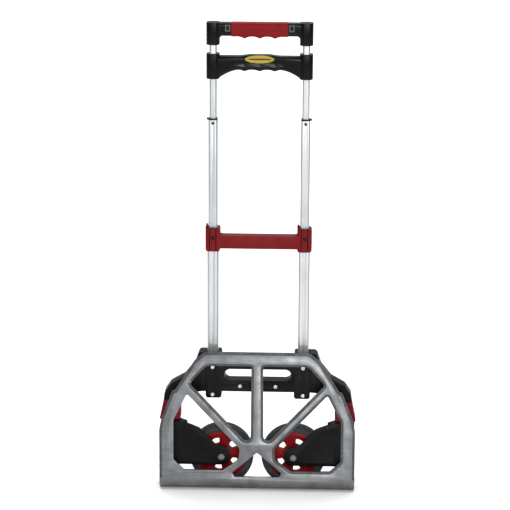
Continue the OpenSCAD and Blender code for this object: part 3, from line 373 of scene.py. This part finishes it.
# --- Top handle: a black glass-filled nylon moulding with a sleeve over each upper tube. The
# bar runs into the sleeves with round fillets, and is sleek because the tool was polished.
handle_nylon = moulded_plastic("black_glass_filled_nylon", "#050506", "#0b0b0c",
                               0.28, 0.05, 0.8, 0.008, 0.12)
SLEEVE_CORNER, SLEEVE_EDGE = 8 * MM, 1.4 * MM
BORE_GAP, BORE_CORNER = 0.3 * MM, 3.2 * MM
# How far a bore's cutter runs past an open end, and a bar's ends run into its sleeves
PAST_END = 5 * MM
INTO_SLEEVE = 6 * MM
# Degrees of turn up to which the outside of a handle is shaded smooth
HANDLE_SMOOTH = 34
handle_low, handle_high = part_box("top_handle")
tube_low, tube_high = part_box("upper_tube_right")
tube_x = (tube_low.x + tube_high.x) / 2
tube_y = (tube_low.y + tube_high.y) / 2
sleeve_w = 2 * (handle_high.x - tube_x)
sleeve_d = handle_high.y - handle_low.y
inner_x = tube_x - sleeve_w / 2


def share(value):
    """A value held between 0 and 1."""
    return min(1, max(0, value))


def sliced_bar(name, low, high, slices, radius, segments):
    """Bar along x cut into slices, with its four long edges rounded."""
    piece = plain_block(name, low, high)
    pick_edges(piece, lambda a, b: abs(a.x - b.x) > MM)
    bpy.ops.mesh.subdivide(number_cuts=slices - 1)
    bpy.ops.object.mode_set(mode="OBJECT")
    corners = ((low.y, high.y), (low.z, high.z))

    def long_edge(a, b):
        on_corner = all(min(abs(v - c) for c in pair) < TINY
                        for v, pair in zip((a.y, a.z), corners))
        return abs(a.x - b.x) > TINY and on_corner

    pick_edges(piece, long_edge)
    bpy.ops.mesh.bevel(offset=radius, segments=segments, affect="EDGES")
    bpy.ops.object.mode_set(mode="OBJECT")
    return piece


def fit_sleeves(bar, low_z, high_z, bore_low, bore_high):
    """Joins a sleeve to each end of a bar and bores it out for the upper tube."""
    for side in (-1, 1):
        middle = Vector((side * tube_x, tube_y, 0))
        half = Vector((sleeve_w / 2, sleeve_d / 2, 0))
        sleeve = rounded_block("sleeve", middle - half + Vector((0, 0, low_z)),
                               middle + half + Vector((0, 0, high_z)),
                               Z_AXIS, SLEEVE_CORNER, 8)
        soften(sleeve, SLEEVE_EDGE, 4, sharp=60)
        join_solid(bar, sleeve, "UNION")
        half = (tube_high - tube_low) / 2 + Vector((BORE_GAP, BORE_GAP, 0))
        bore = rounded_block("bore", Vector((middle.x - half.x, middle.y - half.y, bore_low)),
                             Vector((middle.x + half.x, middle.y + half.y, bore_high)),
                             Z_AXIS, BORE_CORNER, 5)
        join_solid(bar, bore, "DIFFERENCE")
    select_only(bar)
    bpy.ops.object.shade_smooth_by_angle(angle=math.radians(HANDLE_SMOOTH))


handle_bar_h, handle_bar_d = 26 * MM, 25 * MM
handle_bar_sink = 0.4 * MM
handle_bar_corner = 6 * MM
fillet = 6 * MM
end_cap = 4 * MM
bar_low = Vector((-inner_x - INTO_SLEEVE, tube_y - handle_bar_d / 2,
                  handle_high.z - handle_bar_h))
bar_high = Vector((inner_x + INTO_SLEEVE, tube_y + handle_bar_d / 2,
                   handle_high.z - handle_bar_sink))
handle = sliced_bar("top_handle_moulding", bar_low, bar_high, 150, handle_bar_corner, 7)
for vertex in handle.data.vertices:
    near = share(1 - (inner_x - abs(vertex.co.x)) / fillet)
    if vertex.co.z < (bar_low.z + bar_high.z) / 2:
        vertex.co.z -= fillet * (1 - math.sqrt(1 - near * near))
fit_sleeves(handle, handle_low.z, handle_high.z,
            handle_low.z - PAST_END, handle_high.z - end_cap)
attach(handle, "upper_stage")
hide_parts("top_handle")
paint(handle, handle_nylon)

# --- Handle inserts: small grey frames pressed into the bar at each end of the grip, with a
# sunk dark field in the middle. Moulded from mineral-filled nylon, which looks dry and flat.
grey_nylon = moulded_plastic("dark_grey_nylon", "#4a4c4e", "#55575a", 0.5, 0.06, 0.6, 0.03)


def pick_faces(piece, wanted):
    """Opens a piece in edit mode with only the wanted faces selected."""
    unpick(piece, (False, False, True))
    for face in piece.data.polygons:
        face.select = wanted(face)
    bpy.ops.object.mode_set(mode="EDIT")


insert_proud = 0.7 * MM
insert_frame = 2.3 * MM
insert_sink = 0.6 * MM
inserts = from_cad("handle_inserts", "handle_inserts_moulding")
paint(inserts, grey_nylon)
insert_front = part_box("handle_inserts")[0].y
pick_faces(inserts, lambda face: (face.normal.y < -0.9
                                  and face.center.y < insert_front + 0.1 * MM))
bpy.ops.transform.translate(value=(0, -insert_proud, 0))
bpy.ops.mesh.inset(thickness=insert_frame, use_individual=True)
bpy.ops.transform.translate(value=(0, insert_sink, 0))
inserts.data.materials.append(handle_nylon)
inserts.active_material_index = 1
bpy.ops.object.material_slot_assign()
bpy.ops.object.mode_set(mode="OBJECT")
soften(inserts, 0.25 * MM, 2)

# --- Grip: soft red thermoplastic rubber moulded over the core of the handle, with four
# finger hollows below. Dull, with a fine leathery grain.
grip_rubber = moulded_plastic("red_thermoplastic_rubber", "#6e090f", "#790f15",
                              0.5, 0.07, 1.4, 0.08)
FINGER_PITCH = 29 * MM
FINGER_FADE = 12 * MM
CREST_POWER = 1.15


def finger_drop(x, reach, depth):
    """How far the underside hangs below the hollows at x, with a crest between fingers."""
    fade = share((reach - abs(x)) / FINGER_FADE)
    return depth * fade * (1 - abs(math.sin(math.pi * x / FINGER_PITCH))) ** CREST_POWER


grip_low, grip_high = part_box("grip")
grip_wave = 4 * MM
grip_corner = 7 * MM
grip_end = 2 * MM
grip_bottom = grip_low.z + grip_wave
grip_middle = (grip_bottom + grip_high.z) / 2
grip = sliced_bar("grip_rubber_sleeve", Vector((grip_low.x, grip_low.y, grip_bottom)),
                  grip_high, 120, grip_corner, 8)
for vertex in grip.data.vertices:
    below = max(0, grip_middle - vertex.co.z) / (grip_middle - grip_bottom)
    vertex.co.z -= below * finger_drop(vertex.co.x, grip_high.x - grip_end, grip_wave)
soften(grip, 1.0 * MM, 3, sharp=60)
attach(grip, "upper_stage")
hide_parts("grip")
paint(grip, grip_rubber)

# --- Release bar: the black bar under the handle that is pulled up to free the locks. One
# nylon moulding: sleeves that slide on the upper tubes, and an arched bar whose front is
# set back over a low ridge, with rests for the fingers below.
release_low, release_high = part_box("release_bar")
bar_low = Vector((-inner_x - INTO_SLEEVE, release_low.y + 2.5 * MM, release_low.z + 2 * MM))
bar_high = Vector((inner_x + INTO_SLEEVE, release_high.y - 2.5 * MM, release_high.z - 4 * MM))
arch_corner = 8 * MM
arch_rise, arch_run, arch_power = 15.5 * MM, 40 * MM, 0.9
rest_reach, rest_depth = 46 * MM, 3 * MM
hump_rise, hump_reach, hump_run = 2.5 * MM, 40 * MM, 24 * MM
# The ridge lies between these parts of the bar's height, and fades towards the sleeves
ridge_low, ridge_high = 0.3, 0.4
set_back, ridge_reach, ridge_run = 1 * MM, 52 * MM, 22 * MM
collar_gap = 0.3 * MM


def arch_bottom(x):
    """Height of the underside: it climbs from the sleeves, then waves for the fingers."""
    climb = share((inner_x - abs(x)) / arch_run)
    rise = arch_rise * math.sin(math.pi / 2 * climb) ** arch_power
    return bar_low.z + rise - finger_drop(x, rest_reach, rest_depth)


def arch_top(x):
    """Height of the top: level, with a low hump over the badge."""
    hump = share((hump_reach - abs(x)) / hump_run)
    return bar_high.z + hump_rise * hump * hump * (3 - 2 * hump)


arch = sliced_bar("release_bar_moulding", bar_low, bar_high, 150, arch_corner, 9)
bar_h = bar_high.z - bar_low.z
for height in (ridge_low, (ridge_low + ridge_high) / 2, ridge_high, 0.6):
    bpy.ops.object.mode_set(mode="EDIT")
    bpy.ops.mesh.select_all(action="SELECT")
    bpy.ops.mesh.bisect(plane_co=(0, 0, bar_low.z + height * bar_h), plane_no=(0, 0, 1))
    bpy.ops.object.mode_set(mode="OBJECT")
for vertex in arch.data.vertices:
    height = (vertex.co.z - bar_low.z) / bar_h
    bottom, top = arch_bottom(vertex.co.x), arch_top(vertex.co.x)
    vertex.co.z = bottom + height * (top - bottom)
    if vertex.co.y < tube_y:
        over = share((height - ridge_low) / (ridge_high - ridge_low))
        inside = share((ridge_reach - abs(vertex.co.x)) / ridge_run)
        vertex.co.y += set_back * over * inside
fit_sleeves(arch, release_low.z + collar_gap, release_high.z,
            release_low.z - PAST_END, release_high.z + PAST_END)
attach(arch, "release_bar")
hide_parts("release_bar")
paint(arch, handle_nylon)

# --- Badge: an oval pressed plate with a raised rim, in yellow enamel, which carries a dark
# red ring and bar as a plain mark. It is sunk into the release bar. The enamels are smooth
# and shine more than the plastics.
badge_enamel = moulded_plastic("yellow_enamel", "#9a8a14", "#86770f", 0.3, 0.05, 2.0, 0.02, 0.4)
mark_enamel = moulded_plastic("dark_red_enamel", "#4c1414", "#3c1010",
                              0.3, 0.05, 2.0, 0.02, 0.4)
YELLOW, RED = 0, 1
badge = dress("badge", "badge_plate", badge_enamel, "badge_yellow", 0.3 * MM, 3)
badge.data.materials.append(mark_enamel)
badge_low, badge_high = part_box("badge")
badge_middle = (badge_low + badge_high) / 2
badge_half = (badge_high - badge_low) / 2
pick_faces(badge, lambda face: face.normal.y < -0.99 and len(face.vertices) > 8)
inset = 0.3 * MM
# Steps in from the rounded edge: how wide, how far in, and the enamel inside
for width, sink, inside in ((0.7, 0, YELLOW),    # rim
                            (0.2, 0.4, YELLOW),  # inner slope of the rim
                            (1.1, 0, RED),       # field
                            (0.4, 0, YELLOW),    # ring
                            (3.1, 0, RED)):      # inner field, up to the bar
    before, inset = inset, inset + width * MM
    bpy.ops.mesh.extrude_region_move(TRANSFORM_OT_translate={"value": (0, sink * MM, 0)})
    bpy.ops.transform.resize(value=((badge_half.x - inset) / (badge_half.x - before), 1,
                                    (badge_half.z - inset) / (badge_half.z - before)),
                             center_override=badge_middle)
    badge.active_material_index = inside
    bpy.ops.object.material_slot_assign()
bpy.ops.object.mode_set(mode="OBJECT")

# --- Toe plate: the folding load plate, cast in aluminium in one piece with its ribs, raised
# bands, rolled heel and hinge knuckles. Its faces are brushed across and clear coated. A darker
# material on the walls of the bands and windows and on the recessed faces is painted shade.
# The brush lines are 1.1 mm apart, coarser than the real ones, so that they show
brushed_cast = bare_metal("brushed_cast_aluminium", "#7c7e80", "#5c5e60", 0.36, 0.06,
                          (70, 1.1, 1.1), 30, 0.03)
# A darker aluminium that paints the shade on the walls and in the recesses
painted_shade_aluminium = bare_metal("aluminium_painted_shade", "#565759", "#444546", 0.6, 0.06,
                       (1.5, 1.5, 1.5), 12, 0.06)
plate = dress("toe_plate", "toe_plate_casting", brushed_cast, "cast_aluminium", 0.6 * MM, 3,
              sharp=30)
plate.data.materials.append(painted_shade_aluminium)
heel_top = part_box("hinge_rod")[1].z + 12 * MM
band_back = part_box("toe_plate")[0].y + 1.5 * MM
flat_on = 0.8
# Painted shade: the walls and the recessed faces above the heel take the darker material
for face in plate.data.polygons:
    recessed = face.normal.y < -flat_on and face.center.y > band_back
    wall = abs(face.normal.y) < flat_on
    if (recessed or wall) and face.center.z > heel_top:
        face.material_index = 1

# --- Bushes and bearings: turned from natural nylon, so the steel pins run dry. The turning
# leaves them satin, and oil and dust have yellowed them a little.
nylon = moulded_plastic("natural_nylon", "#b8b5a8", "#a7a496", 0.4, 0.05, 0.8, 0.02)
for node in ("hinge_bushes", "carrier_bushes_left", "carrier_bushes_right",
             "wheel_bearing_left", "wheel_bearing_right"):
    dress(node, f"{node}_turned", nylon, "nylon", 0.25 * MM, 2)

# --- Wheel carriers: the arms that swing the wheels out behind the plate. Moulded in the
# crosspiece's black polypropylene, with bushes pressed in where they turn on the swing pins.
for side in ("left", "right"):
    dress(f"wheel_carrier_{side}", f"wheel_carrier_{side}_moulding",
          black_polypropylene, "black_plastic", 0.8 * MM, 3)

# --- Rims: red polypropylene with a thin web, five openings and a deep hub. The tool was
# polished, so they are glossier than the other red parts.
red_polypropylene = moulded_plastic("red_polypropylene", "#6a0509", "#760b0f",
                                    0.38, 0.06, 1.0, 0.04)
for side in ("left", "right"):
    dress(f"rim_{side}", f"rim_{side}_moulding", red_polypropylene, "red_rim", 0.8 * MM, 3,
          sharp=30)

# --- Tyres: solid grey thermoplastic rubber moulded round the rims, with two tread grooves.
# Rubber straight from the mould is matt, and the floor has scuffed it paler in patches.
tyre_rubber = moulded_plastic("grey_tyre_rubber", "#2f3031", "#3b3c3d", 0.62, 0.08, 1.2, 0.1)
for side in ("left", "right"):
    dress(f"tyre_{side}", f"tyre_{side}_rubber", tyre_rubber, "tyre_rubber", 0.3 * MM, 2,
          sharp=70, smooth=52)

# --- Studio: a matt white floor in an even pale surround, a soft light in front, a wide one
# overhead, and a small one low in front that brings out the brushed face of the toe plate.
# The camera looks a little down and a little from the right.
floor_size, floor_gap = 60, 0.2 * MM
bpy.ops.object.select_all(action="DESELECT")
bpy.ops.mesh.primitive_plane_add(size=floor_size, location=(0, 0, -floor_gap))
floor = bpy.context.object
floor.name = "floor"
bpy.ops.object.transform_apply(location=True, rotation=True, scale=True)
floor_paint = bpy.data.materials.new("matt_white_floor")
floor_paint.use_nodes = True
floor_shader = floor_paint.node_tree.nodes["Principled BSDF"]
floor_shader.inputs["Base Color"].default_value = linear("#f4f4f4")
floor_shader.inputs["Roughness"].default_value = 0.9
floor_shader.inputs["Specular IOR Level"].default_value = 0.0
floor.data.materials.append(floor_paint)

world = bpy.data.worlds.new("studio")
bpy.context.scene.world = world
world.use_nodes = True
surround = world.node_tree.nodes["Background"]
surround.inputs["Color"].default_value = linear("#ffffff")
surround.inputs["Strength"].default_value = 0.36


def softbox(name, place, target, width, height, power):
    """Rectangular soft light that faces a target."""
    lamp = bpy.data.lights.new(name, "AREA")
    lamp.shape = "RECTANGLE"
    lamp.size = width
    lamp.size_y = height
    lamp.energy = power
    light = bpy.data.objects.new(name, lamp)
    bpy.context.scene.collection.objects.link(light)
    light.location = place
    light.rotation_euler = (Vector(target) - Vector(place)).to_track_quat("-Z", "Y").to_euler()


softbox("key", place=(0.35, -3.6, 1.7), target=(0, 0, 0.6), width=0.8, height=0.8, power=90)
softbox("overhead", place=(0, 4.2, 5.5), target=(0, 4.2, 0), width=14, height=11, power=1000)
softbox("bounce", place=(0.12, -0.9, 0.03), target=(0.1, 0, 0.27), width=0.16, height=0.05,
        power=1.2)

# Degrees that the camera looks down, turns to the left and leans
look_down, turn, lean = 14, 2, 0.3
camera_data = bpy.data.cameras.new("camera")
camera_data.lens = 149.4
camera_data.sensor_width = 36
camera = bpy.data.objects.new("camera", camera_data)
bpy.context.scene.collection.objects.link(camera)
camera.location = (132.8 * MM, -3997.7 * MM, 1472.9 * MM)
aim = Euler((math.radians(90 - look_down), 0, math.radians(turn))).to_matrix()
camera.rotation_euler = (aim @ Matrix.Rotation(math.radians(lean), 3, "Z")).to_euler()
bpy.context.scene.camera = camera
bpy.context.scene.view_settings.view_transform = "Standard"
